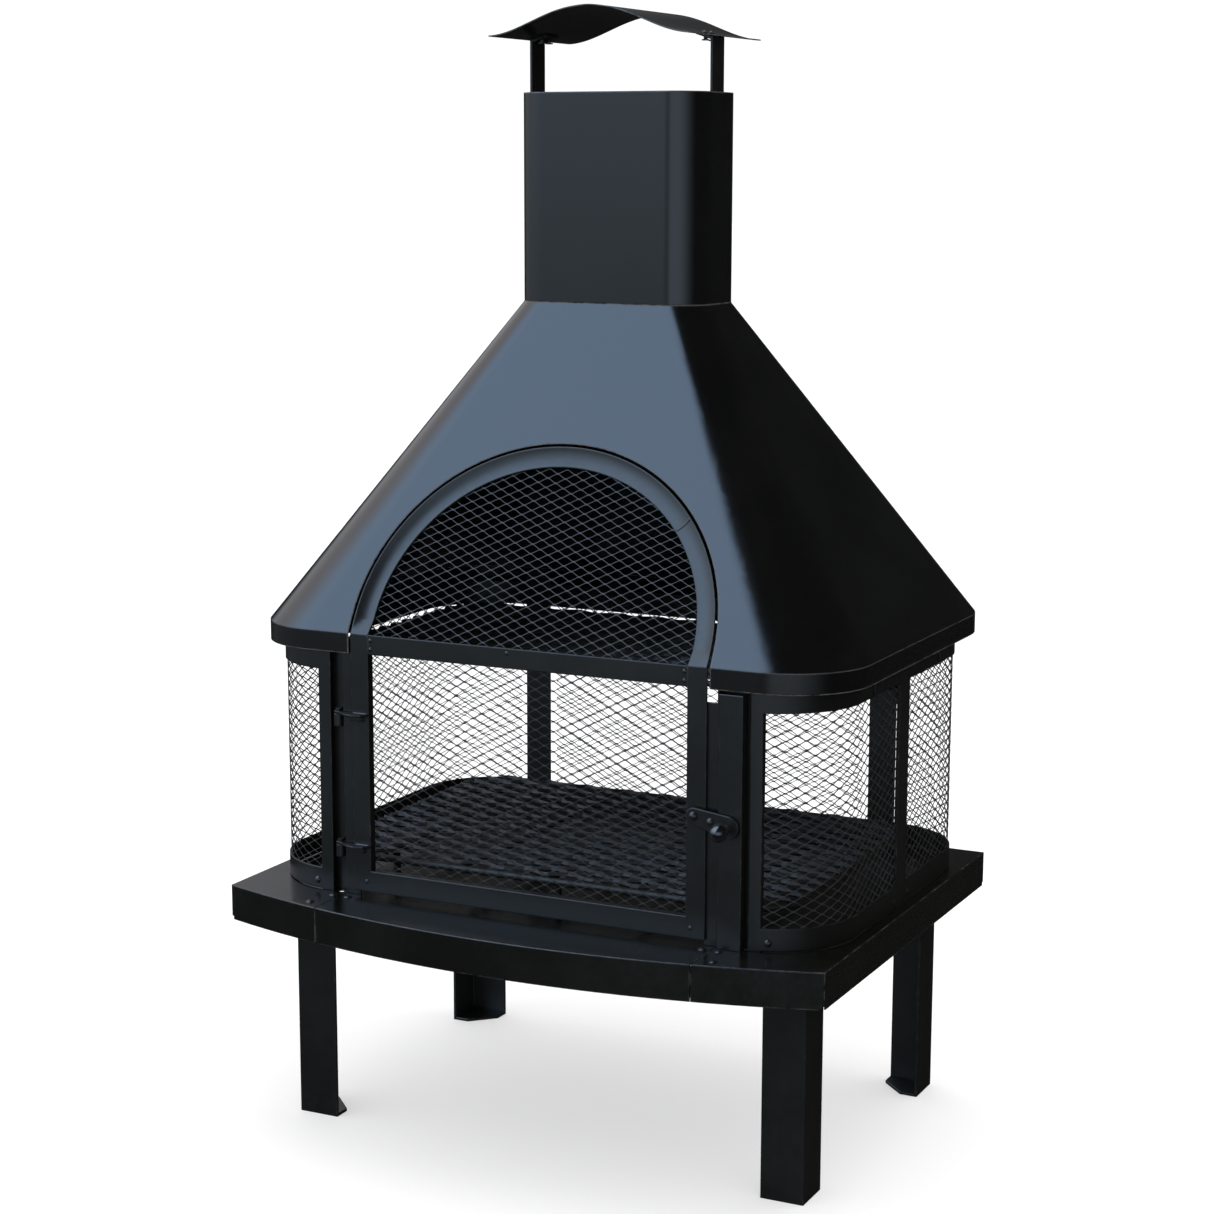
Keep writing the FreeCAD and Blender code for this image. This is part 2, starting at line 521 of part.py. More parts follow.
# ---- door --------------------------------------------------------------------------------------------
def bar_section(dish, at, across):
    # Section of the arch bar: hollow from the outer edge, then flat along the inner rim.
    wide = DOOR_BAR - ARCH_RIM
    bend = (wide * wide + dish * dish) / (2 * dish)
    half = math.asin(wide / bend) / 2
    mid_r = DOOR_X - wide + bend * math.sin(half)
    mid_n = -dish + bend * (1 - math.cos(half))

    def put(r, n):
        return at + across * r + N * n

    t = DOOR_T
    rim = DOOR_X - wide
    inside = DOOR_X - DOOR_BAR
    front = [Part.Arc(put(DOOR_X, 0), put(mid_r, mid_n), put(rim, -dish)),
             Part.LineSegment(put(rim, -dish), put(inside, -dish))]
    rear = [Part.LineSegment(put(inside, -dish), put(inside, -dish - t)),
            Part.LineSegment(put(inside, -dish - t), put(rim, -dish - t)),
            Part.Arc(put(rim, -dish - t), put(mid_r, mid_n - t), put(DOOR_X, -t)),
            Part.LineSegment(put(DOOR_X, -t), put(DOOR_X, 0))]
    return Part.Wire([edge.toShape() for edge in front + rear])


back = DOOR_FRONT + DOOR_T
flange_back = DOOR_FRONT + DOOR_FLANGE
inner_x = DOOR_X - DOOR_BAR
CROSS0, CROSS1 = HOOD_Z0 + 0.5, HOOD_Z1
# The arch bar is hollowed along the curve, and its two feet flatten out towards the crossbar.
FLAT = 0.1
arch_centre = on_slope(0, ARCH_S, 0)
ring = Part.Face(bar_section(ARCH_DISH, arch_centre, V(1, 0, 0))).revolve(arch_centre, N, 180)
feet = []
for sx in (-1, 1):
    across = V(sx, 0, 0)
    feet.append(Part.makeLoft([bar_section(ARCH_DISH, arch_centre, across),
                               bar_section(FLAT, on_slope(0, 0, 0), across)], True, True))
lower_flange = box(-inner_x - FLANGE_T, inner_x + FLANGE_T, back, flange_back,
                   RAIL_TOP - FLANGE_T, CROSS0 + FLANGE_T)
lower_flange = lower_flange.cut(box(-inner_x, inner_x, back - 1, flange_back + 1, RAIL_TOP, CROSS0))
door_frame = fuse([
    box(-DOOR_X, -inner_x, DOOR_FRONT, back, DOOR_Z0, CROSS1),
    box(inner_x, DOOR_X, DOOR_FRONT, back, DOOR_Z0, CROSS1),
    box(-DOOR_X, DOOR_X, DOOR_FRONT, back, DOOR_Z0, RAIL_TOP),
    lower_flange,
    box(-inner_x - FLANGE_T, inner_x + FLANGE_T, back, flange_back, CROSS1 - 6, CROSS1 - 4.5),
    box(-inner_x - FLANGE_T, -inner_x, back, flange_back, CROSS0, CROSS1 - 4.5),
    box(inner_x, inner_x + FLANGE_T, back, flange_back, CROSS0, CROSS1 - 4.5),
    ring] + feet)
door_crossbar = box(-inner_x, inner_x, DOOR_FRONT, back, CROSS0, CROSS1)
door_mesh_low = box(-inner_x - FLANGE_T, inner_x + FLANGE_T, flange_back, flange_back + MESH_T,
                    RAIL_TOP - FLANGE_T, CROSS0 + FLANGE_T)
mesh_n = -ARCH_DISH - DOOR_T         # the upper mesh lies on the back of the bar's inner rim
door_mesh_up = arch_block(inner_x + ARCH_RIM, 0.5, mesh_n - MESH_T, mesh_n)
# Rivets on the crossbar and the frame corners.
RIVETS = [(-172.0, 523.0), (-17.5, 523.5), (172.0, 523.0), (-172.0, 514.0), (172.0, 514.0),
          (-180.0, 274.0), (180.0, 274.0)]
door_rivets = []
for rx, rz in RIVETS:
    shank = cyl(1.2, DOOR_T, (rx, DOOR_FRONT, rz), (0, 1, 0))
    door_rivets.append(fuse([shank, dome_head(2.4, 1.0, (rx, DOOR_FRONT, rz), (0, -1, 0))]))
    door_frame = door_frame.cut(shank)
    door_crossbar = door_crossbar.cut(shank)

# Hinge plates stand out from the left stile and reach over the barrels; a headed pin drops through.
plates, pins, barrels = [], [], []
for z in HINGE_Z:
    arm = prism([(-217.0, -228.0), (-209.5, -230.6), (-199.0, -238.0), (-190.0, -240.5),
                 (-181.0, -237.0), (-175.5, DOOR_FRONT), (-194.5, DOOR_FRONT), (-206.0, -228.4),
                 (-209.4, -226.6), (-211.5, -222.0)], z, z + HINGE_PLATE_T)
    plate = fuse([arm, cyl(5.0, HINGE_PLATE_T, (HINGE_X, HINGE_Y, z))])
    gusset = prism([(-195.0, -233.0), (-184.0, -234.0), (-180.0, DOOR_FRONT), (-194.5, DOOR_FRONT)],
                   z - 5.0, z)
    plate = fuse([plate, gusset]).cut(cyl(PIN_R, 20, (HINGE_X, HINGE_Y, z - 10)))
    plates.append(plate)
    pin_low = z - BARREL_H + 1.0
    pins.append(fuse([cyl(PIN_R, z + HINGE_PLATE_T - pin_low, (HINGE_X, HINGE_Y, pin_low)),
                      cyl(3.6, 2.6, (HINGE_X, HINGE_Y, z + HINGE_PLATE_T))]))
    top_z = z - 0.6
    barrel = fuse([cyl(BARREL_R, BARREL_H, (HINGE_X, HINGE_Y, top_z - BARREL_H)),
                   box(HINGE_X - 3.5, HINGE_X + 3.5, HINGE_Y, web - h, top_z - BARREL_H, top_z)])
    barrels.append(barrel.cut(cyl(PIN_R + RUNNING, 40, (HINGE_X, HINGE_Y, z - 30))))
save("hinge_plates", plates)
save("hinge_pins", pins)
save("hinge_barrels", barrels)

# ---- latch -------------------------------------------------------------------------------------------
# Tear-drop lever: small end on the pivot, round big end over the latch strip.
dx, dz = LEVER_END_X - LATCH_X, LEVER_END_Z - LATCH_Z
length = math.hypot(dx, dz)
ux, uz = dx / length, dz / length
r1, r2 = 8.0, 11.5
sin_a = (r2 - r1) / length
cos_a = math.sqrt(1 - sin_a * sin_a)
lever_t = LEVER_Y1 - LEVER_Y0


def lever_point(cx, cz, r, side):
    # Tangent point of the lever flank on an end circle.
    nx = -ux * sin_a - side * uz * cos_a
    nz = -uz * sin_a + side * ux * cos_a
    return V(cx + r * nx, LEVER_Y0, cz + r * nz)


flank = [lever_point(LATCH_X, LATCH_Z, r1, 1), lever_point(LEVER_END_X, LEVER_END_Z, r2, 1),
         lever_point(LEVER_END_X, LEVER_END_Z, r2, -1), lever_point(LATCH_X, LATCH_Z, r1, -1)]
lever = fuse([Part.Face(Part.makePolygon(flank + [flank[0]])).extrude(V(0, lever_t, 0)),
              cyl(r1, lever_t, (LATCH_X, LEVER_Y0, LATCH_Z), (0, 1, 0)),
              cyl(r2, lever_t, (LEVER_END_X, LEVER_Y0, LEVER_END_Z), (0, 1, 0))])
BOLT_R = 3.0
lever = lever.cut(cyl(BOLT_R + RUNNING, 20, (LATCH_X, LEVER_Y0 - 5, LATCH_Z), (0, 1, 0)))
# Notch in the lower edge that comes down over the stud; it is cut along the swing of the lever.
STUD_X, STUD_Z, STUD_R = 216.0, 370.5, 2.6
ax, az = STUD_X - LATCH_X, STUD_Z - LATCH_Z
swing = math.degrees(math.atan2(az, ax))
notch = cyl(STUD_R + 0.5, 20, (STUD_X, LEVER_Y0 - 5, STUD_Z), (0, 1, 0))
slot = Part.makeBox(2 * STUD_R + 1.0, 20, 14, V(-STUD_R - 0.5, -10, -14))
slot.Placement = FreeCAD.Placement(V(STUD_X, LEVER_Y0, STUD_Z), FreeCAD.Rotation(V(0, 1, 0), -swing))
lever = lever.cut(notch).cut(slot)
# Rivet head part-way along the lever.
RX, RZ = LATCH_X + ux * 18.0, LATCH_Z + uz * 18.0
latch_rivet = fuse([cyl(2.0, lever_t, (RX, LEVER_Y0, RZ), (0, 1, 0)),
                    dome_head(4.3, 2.4, (RX, LEVER_Y0, RZ), (0, -1, 0))])
KNOB_R = 9.0
KNOB_Y = -255.0
knob_stem = cyl(3.2, 12.0, (LEVER_END_X, LEVER_Y0 - 12.0, LEVER_END_Z), (0, 1, 0))
knob = fuse([Part.makeSphere(KNOB_R, V(LEVER_END_X, KNOB_Y, LEVER_END_Z)),
             Part.makeCone(5.2, 4.2, 9.0, V(LEVER_END_X, KNOB_Y + 4.0, LEVER_END_Z), V(0, 1, 0))])
knob = knob.cut(knob_stem)
lever = lever.cut(cyl(2.0, 20, (RX, LEVER_Y0 - 5, RZ), (0, 1, 0)))
save("latch_lever", [lever])
save("latch_rivet", [latch_rivet])
save("latch_knob", [knob])
save("latch_knob_stem", [knob_stem])
pivot = fuse([cyl(BOLT_R, 14.6, (LATCH_X, LEVER_Y0 - 0.1, LATCH_Z), (0, 1, 0)),
              dome_head(4.8, 3.0, (LATCH_X, LEVER_Y0 - 0.1, LATCH_Z), (0, -1, 0))])
spacer = cyl(6.0, DOOR_FRONT - LEVER_Y1 - 0.1, (LATCH_X, LEVER_Y1 + 0.1, LATCH_Z), (0, 1, 0))
bolt_hole = cyl(BOLT_R, 40, (LATCH_X, LEVER_Y0 - 10, LATCH_Z), (0, 1, 0))
nut = hex_prism(9.5, 4.0, (LATCH_X + 0.6, back, LATCH_Z), (0, 1, 0)).cut(bolt_hole)
door_frame = door_frame.cut(bolt_hole)
save("latch_pivot_bolt", [pivot])
save("latch_spacer", [spacer.cut(bolt_hole)])
save("latch_nut", [nut])
save("latch_stud", [cyl(STUD_R, STRIP_FRONT + 239.0, (STUD_X, -239.0, STUD_Z), (0, 1, 0))])
save("door_frame", [door_frame])
save("door_crossbar", [door_crossbar])
save("door_mesh_lower", [door_mesh_low])
save("door_mesh_upper", [door_mesh_up])
save("door_rivets", door_rivets)


# ---- loose grates ------------------------------------------------------------------------------------
def rod_ring(x0, x1, y0, y1, r, z, rod):
    # Round rod bent to a rounded rectangle.
    wire = round_wire(x0, x1, y0, y1, r, z)
    start = V(x0 + r, y0, z)
    profile = Part.Wire([Part.makeCircle(rod, start, V(1, 0, 0))])
    return wire.makePipeShell([profile], True, True)


COOK_X, COOK_Y0, COOK_Y1, COOK_Z, COOK_ROD = 298.0, -100.0, 190.0, 484.5, 3.0
cook = rod_ring(-COOK_X, COOK_X, COOK_Y0, COOK_Y1, 45.0, COOK_Z, COOK_ROD)
bars = []
for i in range(3):
    bx = -COOK_X / 2 + i * COOK_X / 2
    bars.append(cyl(COOK_ROD - 0.4, COOK_Y1 - COOK_Y0, (bx, COOK_Y0, COOK_Z), (0, 1, 0)))
save("cooking_grate_frame", [fuse([cook] + bars)])
save("cooking_grate_mesh", [round_block(-COOK_X, COOK_X, COOK_Y0, COOK_Y1, 45.0, COOK_Z + COOK_ROD,
                                        COOK_Z + COOK_ROD + MESH_T)])
# Four tabs on the side and rear posts carry it.
tabs = []
tab_top = COOK_Z - COOK_ROD
for sx in (-1, 1):
    px = sx * (inner - 4)
    a0, a1 = sorted((px, px - sx * 24))
    b0, b1 = sorted((px, px - sx * 2))
    tabs.append(fuse([box(a0, a1, SIDE_SEAM_Y - 8, SIDE_SEAM_Y + 8, tab_top - 2, tab_top),
                      box(b0, b1, SIDE_SEAM_Y - 8, SIDE_SEAM_Y + 8, tab_top - 16, tab_top)]))
    cx = sx * REAR_SEAM_X
    py = BODY_REAR - SHEET - 3
    tabs.append(fuse([box(cx - 9, cx + 9, py - 24, py, tab_top - 2, tab_top),
                      box(cx - 9, cx + 9, py - 2, py, tab_top - 16, tab_top)]))
save("grate_tabs", tabs)

LOG_X, LOG_Y0, LOG_Y1, LOG_Z, LOG_ROD = 262.0, -186.0, 166.0, 287.0, 4.0
log = [rod_ring(-LOG_X, LOG_X, LOG_Y0, LOG_Y1, 60.0, LOG_Z, LOG_ROD)]
for i in range(5):
    bx = -LOG_X * 0.72 + i * LOG_X * 0.36
    log.append(cyl(LOG_ROD - 0.4, LOG_Y1 - LOG_Y0, (bx, LOG_Y0, LOG_Z), (0, 1, 0)))
for fx in (-LOG_X * 0.72, 0, LOG_X * 0.72):
    for fy in (LOG_Y0 + 30, LOG_Y1 - 30):
        log.append(cyl(LOG_ROD - 0.4, LOG_Z - HEARTH_TOP, (fx, fy, HEARTH_TOP)))
save("log_grate_frame", [fuse(log)])
save("log_grate_mesh", [round_block(-LOG_X, LOG_X, LOG_Y0, LOG_Y1, 60.0, LOG_Z + LOG_ROD,
                                    LOG_Z + LOG_ROD + MESH_T)])
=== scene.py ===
import json
import math
import random

import bpy
from mathutils import Euler, Matrix, Vector
from mathutils.bvhtree import BVHTree


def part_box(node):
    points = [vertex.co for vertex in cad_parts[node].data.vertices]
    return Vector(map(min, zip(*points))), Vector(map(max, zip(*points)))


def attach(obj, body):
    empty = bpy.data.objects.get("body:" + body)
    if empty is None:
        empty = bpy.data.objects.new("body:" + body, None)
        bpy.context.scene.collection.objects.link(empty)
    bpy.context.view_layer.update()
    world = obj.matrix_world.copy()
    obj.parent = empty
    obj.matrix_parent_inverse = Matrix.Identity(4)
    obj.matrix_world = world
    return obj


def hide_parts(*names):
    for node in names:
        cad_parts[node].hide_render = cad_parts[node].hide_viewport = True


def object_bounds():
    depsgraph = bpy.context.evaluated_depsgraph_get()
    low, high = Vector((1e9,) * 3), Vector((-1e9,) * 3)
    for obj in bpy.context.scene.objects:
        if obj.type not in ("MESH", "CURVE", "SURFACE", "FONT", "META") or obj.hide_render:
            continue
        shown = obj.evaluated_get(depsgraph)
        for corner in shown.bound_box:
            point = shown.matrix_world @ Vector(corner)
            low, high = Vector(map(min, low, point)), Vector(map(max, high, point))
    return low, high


# A sheet-steel chiminea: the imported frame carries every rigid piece, and this script gives each one its
# painted or bare-metal finish and replaces the plain mesh sheets by real expanded metal.
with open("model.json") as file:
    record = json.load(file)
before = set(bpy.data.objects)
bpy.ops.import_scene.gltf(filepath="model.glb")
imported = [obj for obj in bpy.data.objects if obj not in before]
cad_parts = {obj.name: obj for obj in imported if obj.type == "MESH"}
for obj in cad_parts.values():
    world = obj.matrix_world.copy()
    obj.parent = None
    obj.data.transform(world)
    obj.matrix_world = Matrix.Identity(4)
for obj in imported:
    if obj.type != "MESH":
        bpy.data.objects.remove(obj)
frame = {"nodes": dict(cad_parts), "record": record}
NODES = frame["nodes"]
cad_low, cad_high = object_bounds()

# ---- sizes, metres ---------------------------------------------------------------------------------
BODY_R = 0.087              # outer corner radius of the firebox
SCREEN_LWD = 0.0195         # long way of a screen diamond
SCREEN_SWD = 0.0100         # short way
SCREEN_STRAND = 0.00082     # width of a strand
SCREEN_THICK = 0.0008
SCREEN_LEAN = math.radians(7)       # lean of the strands out of the sheet
GRATE_LWD = 0.050
GRATE_SWD = 0.024
GRATE_STRAND = 0.0038
GRATE_THICK = 0.0016
GRATE_LEAN = math.radians(50)       # raised expanded metal: each strand leans like a louvre
BOND = 0.14                 # share of the long way taken by a knuckle
COOKING_CORNER = 0.045      # corner radius of each grate's mesh
LOG_CORNER = 0.060
CROWN_GAP = 0.003           # no strand this close to the crown of the arch
EDGE_TRIM = 0.0008          # strands stop this short of the arch's outline
PEEL_PITCH = 0.0011         # orange peel of the paint


# ---- shader building blocks --------------------------------------------------------------------------
class Nodes:
    """A node tree with short calls for the nodes used here."""

    def __init__(self, tree, coordinate):
        self.tree = tree
        self.tree.nodes.clear()
        self.where = self.tree.nodes.new("ShaderNodeTexCoord").outputs[coordinate]

    def link(self, a, b):
        self.tree.links.new(a, b)

    def put(self, socket, value):
        if isinstance(value, bpy.types.NodeSocket):
            self.link(value, socket)
        else:
            socket.default_value = value

    def noise(self, pitch, detail=3.0, rough=0.55, stretch=None):
        n = self.tree.nodes.new("ShaderNodeTexNoise")
        n.inputs["Scale"].default_value = 1.0 / pitch
        n.inputs["Detail"].default_value = detail
        n.inputs["Roughness"].default_value = rough
        where = self.where
        if stretch:
            m = self.tree.nodes.new("ShaderNodeMapping")
            m.inputs["Scale"].default_value = stretch
            self.link(where, m.inputs["Vector"])
            where = m.outputs[0]
        self.link(where, n.inputs["Vector"])
        return n.outputs["Fac"]

    def remap(self, value, a0, a1, b0, b1):
        n = self.tree.nodes.new("ShaderNodeMapRange")
        n.interpolation_type = "SMOOTHSTEP"
        for i, v in enumerate((value, a0, a1, b0, b1)):
            self.put(n.inputs[i], v)
        return n.outputs[0]

    def math(self, kind, a, b=0.0, clamp=True):
        n = self.tree.nodes.new("ShaderNodeMath")
        n.operation = kind
        n.use_clamp = clamp
        self.put(n.inputs[0], a)
        self.put(n.inputs[1], b)
        return n.outputs[0]

    def split(self, vector):
        n = self.tree.nodes.new("ShaderNodeSeparateXYZ")
        self.link(vector, n.inputs[0])
        return n.outputs

    def mix(self, share, a, b):
        n = self.tree.nodes.new("ShaderNodeMix")
        n.data_type = "RGBA"
        self.put(n.inputs["Factor"], share)
        for key, v in (("A", a), ("B", b)):
            socket = [s for s in n.inputs if s.name == key and s.type == "RGBA"][0]
            self.put(socket, v if isinstance(v, bpy.types.NodeSocket) else (*v, 1.0))
        return [s for s in n.outputs if s.type == "RGBA"][0]

    def edge(self, radius):
        """1 on sharp edges, 0 on flat faces, and the rounded normal."""
        soft = self.tree.nodes.new("ShaderNodeBevel")
        soft.samples = 6
        soft.inputs["Radius"].default_value = radius
        geo = self.tree.nodes.new("ShaderNodeNewGeometry")
        dot = self.tree.nodes.new("ShaderNodeVectorMath")
        dot.operation = "DOT_PRODUCT"
        self.link(soft.outputs[0], dot.inputs[0])
        self.link(geo.outputs["Normal"], dot.inputs[1])
        return self.remap(dot.outputs["Value"], 0.995, 0.90, 0.0, 1.0), soft.outputs[0]

    def upward(self):
        """1 on faces that look up, 0 on walls."""
        geo = self.tree.nodes.new("ShaderNodeNewGeometry")
        return self.remap(self.split(geo.outputs["Normal"])["Z"], 0.35, 0.9, 0.0, 1.0)

    def bump(self, height, strength, distance, normal=None):
        n = self.tree.nodes.new("ShaderNodeBump")
        n.inputs["Strength"].default_value = strength
        n.inputs["Distance"].default_value = distance
        self.link(height, n.inputs["Height"])
        if normal is not None:
            self.link(normal, n.inputs["Normal"])
        return n.outputs[0]


class Look(Nodes):
    """A material with one principled shader."""

    def __init__(self, name):
        self.mat = bpy.data.materials.new(name)
        self.mat.use_nodes = True
        super().__init__(self.mat.node_tree, "Object")
        out = self.tree.nodes.new("ShaderNodeOutputMaterial")
        self.bsdf = self.tree.nodes.new("ShaderNodeBsdfPrincipled")
        self.link(self.bsdf.outputs[0], out.inputs[0])

    def set(self, **values):
        for key, value in values.items():
            self.put(self.bsdf.inputs[key.replace("_", " ")], value)


BARE_STEEL_AND_HIGHLIGHT = (0.13, 0.125, 0.12)          # steel showing where paint is worn off, and also a painted highlight along edges
DUST = (0.040, 0.037, 0.033)


def paint(name, base, rough, spread=0.06, peel=0.10, dust=0.10, edge_wear_and_highlight=0.3, round_edge=0.0018, dusty=DUST,
          patches=(0.50, 0.72)):
    """Stoved black paint over steel: orange peel, cloudy gloss, worn edges, a little dust on top faces.
    The worn edges take the bare-steel colour: partly real wear and partly a painted highlight along the
    edges. The lower the patches, the longer the worn stretches of an edge."""
    look = Look(name)
    cloud = look.noise(0.11, 4.0, 0.6)
    fine = look.noise(0.006, 3.0, 0.6)
    specks = look.noise(0.0022, 1.0, 0.5)
    lift = [c * 1.7 + 0.0004 for c in base]
    colour = look.mix(look.remap(cloud, 0.35, 0.7, 0.0, 0.6), base, lift)
    edge, soft = look.edge(round_edge)
    # Worn edges in bare-steel colour: real wear, and also a painted highlight along the edges.
    wear_and_highlight_mask = look.math("MULTIPLY", edge, look.remap(look.noise(0.012, 5.0, 0.7), *patches, 0.0, edge_wear_and_highlight))
    colour = look.mix(wear_and_highlight_mask, colour, BARE_STEEL_AND_HIGHLIGHT)
    drift = look.remap(look.noise(0.035, 5.0, 0.65), 0.42, 0.75, 0.0, dust)
    settled = look.math("MULTIPLY", look.upward(), drift)
    flecks = look.math("MULTIPLY", look.remap(specks, 0.72, 0.80, 0.0, 1.0), 0.04 + dust * 0.4)
    colour = look.mix(look.math("ADD", settled, flecks), colour, dusty)
    shine = look.math("ADD", look.math("MULTIPLY", cloud, 0.6), look.math("MULTIPLY", fine, 0.4))
    gloss = look.remap(shine, 0.35, 0.68, rough - spread / 2, rough + spread / 2)
    look.set(Base_Color=colour, Roughness=look.math("ADD", gloss, look.math("MULTIPLY", settled, 0.3)),
             Normal=look.bump(look.noise(PEEL_PITCH, 2.0, 0.5), peel, 0.0002, soft))
    return look.mat


def steel(name, base, rough, dark):
    """Bare or zinc-coated steel with fine scratches and heat-dulled patches."""
    look = Look(name)
    scratch = look.noise(0.0012, 4.0, 0.7, (1.0, 1.0, 0.08))
    edge, soft = look.edge(0.0004)
    colour = look.mix(look.remap(look.noise(0.009, 4.0, 0.6), 0.38, 0.68, 0.0, 1.0), base, dark)
    look.set(Base_Color=look.mix(look.math("MULTIPLY", edge, 0.4), colour, (0.6, 0.6, 0.58)), Metallic=1.0,
             Roughness=look.remap(scratch, 0.3, 0.7, rough - 0.08, rough + 0.14),
             Normal=look.bump(scratch, 0.18, 0.0001, soft))
    return look.mat


def gloss_black(name):
    """Moulded ball knob: deep gloss with hairline scratches and a faint moulding ripple."""
    look = Look(name)
    hair = look.noise(0.0006, 5.0, 0.75, (1.0, 0.15, 1.0))
    smear = look.noise(0.006, 3.0, 0.5)
    colour = look.mix(look.remap(smear, 0.4, 0.7, 0.0, 0.6), (0.004, 0.004, 0.005), (0.010, 0.010, 0.012))
    look.set(Base_Color=colour,
             Roughness=look.remap(smear, 0.35, 0.7, 0.08, 0.20), Normal=look.bump(hair, 0.05, 0.00008),
             Coat_Weight=0.6, Coat_Roughness=0.06)
    return look.mat


# The hood's high, long edge wear is mostly a painted highlight along its edges, beside the arch opening too,
# and partly wear.
HOOD_PAINT = paint("hood_paint", (0.0021, 0.0022, 0.0023), 0.17, 0.05, 0.05, 0.04, 0.90, 0.0022,
                   patches=(0.30, 0.52))
BODY_PAINT = paint("body_paint", (0.0032, 0.0034, 0.0029), 0.34, 0.08, 0.09, 0.08, 0.30)
HEARTH_PAINT = paint("hearth_paint", (0.0032, 0.0034, 0.0029), 0.22, 0.08, 0.06, 0.08, 0.45, 0.0022,
                     patches=(0.38, 0.62))
MESH_PAINT = paint("mesh_paint", (0.0190, 0.0185, 0.0172), 0.48, 0.10, 0.06, 0.04, 0.30, 0.0003)
BOLT_PAINT = paint("bolt_finish", (0.0060, 0.0060, 0.0062), 0.30, 0.10, 0.06, 0.06, 0.45, 0.0005)
GRATE_STEEL = paint("grate_steel", (0.0070, 0.0064, 0.0058), 0.50, 0.16, 0.25, 0.12, 0.30, 0.0006,
                    dusty=(0.045, 0.042, 0.040))
WELD_PAINT = paint("weld_paint", (0.0085, 0.0087, 0.0084), 0.30, 0.10, 0.15, 0.06, 0.50, 0.0004,
                   patches=(0.40, 0.62))
PLAIN_STEEL = steel("plain_steel", (0.34, 0.33, 0.31), 0.34, (0.16, 0.15, 0.14))
KNOB_BLACK = gloss_black("knob_black")

FINISH = {"heat_paint": BODY_PAINT, "hearth_paint": HEARTH_PAINT, "expanded_mesh": MESH_PAINT,
          "bolt_steel": BOLT_PAINT, "plain_steel": PLAIN_STEEL, "grate_steel": GRATE_STEEL,
          "knob": KNOB_BLACK}
SLOT_OF = {s["node"]: s["material_slot"] for s in frame["record"]["subparts"]}
BODY_OF = {n: b for b, members in frame["record"]["behaviour"]["bodies"].items() for n in members}


def dress(obj, material):
    obj.data.materials.clear()
    obj.data.materials.append(material)


scene = bpy.context.scene


def make_mesh(name, verts, faces):
    mesh = bpy.data.meshes.new(name)
    mesh.from_pydata(verts, [], faces)
    obj = bpy.data.objects.new(name, mesh)
    scene.collection.objects.link(obj)
    return obj


for node, obj in NODES.items():
    dress(obj, FINISH[SLOT_OF[node]])
for node in ("hood", "chimney", "rain_cap", "cap_rivets"):
    dress(NODES[node], HOOD_PAINT)


# ---- expanded metal ------------------------------------------------------------------------------------
def zigzag(u0, u1, row, lwd, swd, strand):
    """Corner points (u, v) of one strand between u0 and u1, v measured from the bottom of the lattice."""
    half = lwd / 2
    low, high = row * swd / 2 + strand / 2, (row + 1) * swd / 2 - strand / 2
    points = []
    k = math.floor(u0 / half) - 1
    while k * half < u1 + half:
        v = high if (k + row) % 2 else low
        points.append((k * half - BOND * half, v))
        points.append((k * half + BOND * half, v))
        k += 1
    kept = []
    for (ua, va), (ub, vb) in zip(points, points[1:]):
        for edge in (u0, u1):
            if ua < edge < ub:
                kept.append((edge, va + (vb - va) * (edge - ua) / (ub - ua)))
        if u0 < ub < u1:
            kept.append((ub, vb))
    return sorted(kept)


def lattice(name, node, place, span, height, lwd, swd, strand, thick, tilt, material, slot):
    """Expanded metal over a sheet. place(u, v) gives a point and the outward normal; span(v) the two ends."""
    c, s = math.cos(tilt), math.sin(tilt)
    corners = []
    for a, b in ((-1, -1), (1, -1), (1, 1), (-1, 1)):
        dv, dn = a * strand / 2, b * thick / 2
        corners.append((dv * c - dn * s, dv * s + dn * c))
    verts, faces = [], []
    for row in range(int(height / (swd / 2))):
        ends = span((row + 0.5) * swd / 2)
        if ends is None or ends[1] - ends[0] < lwd / 3:
            continue
        path = zigzag(ends[0], ends[1], row, lwd, swd, strand)
        first = len(verts)
        for u, v in path:
            for dv, dn in corners:
                point, normal = place(u, v + dv)
                verts.append(point + normal * dn)
        count = len(path)
        for i in range(count - 1):
            a = first + 4 * i
            for j in range(4):
                k = (j + 1) % 4
                faces.append((a + j, a + k, a + 4 + k, a + 4 + j))
        faces.append((first + 3, first + 2, first + 1, first))
        last = first + 4 * (count - 1)
        faces.append((last, last + 1, last + 2, last + 3))
    obj = make_mesh(name, [tuple(v) for v in verts], faces)
    dress(obj, material)
    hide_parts(node)
    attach(obj, BODY_OF[node])
    return obj


SCREEN = dict(lwd=SCREEN_LWD, swd=SCREEN_SWD, strand=SCREEN_STRAND, thick=SCREEN_THICK, tilt=SCREEN_LEAN,
              material=MESH_PAINT, slot="expanded_mesh")
GRATE = dict(lwd=GRATE_LWD, swd=GRATE_SWD, strand=GRATE_STRAND, thick=GRATE_THICK, tilt=GRATE_LEAN,
             material=GRATE_STEEL, slot="grate_steel")
GRATE_RISE = (GRATE_STRAND * math.sin(GRATE_LEAN) + GRATE_THICK * math.cos(GRATE_LEAN)) / 2

# The firebox outline, halfway through the mesh sheets.
left_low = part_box("screen_front_left_mesh")[0]
sheet_mid = (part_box("screen_rear_mesh")[1].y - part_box("screen_rear_mesh")[0].y) / 2
out_x = -left_low.x - sheet_mid
out_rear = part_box("screen_rear_mesh")[1].y - sheet_mid
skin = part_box("screen_rear_left_frame")[1].y - out_rear
corner_r = BODY_R - skin
# The left stile reaches onto the flat part of the front.
out_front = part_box("screen_front_left_frame")[0].y + skin
flat_x = out_x - corner_r


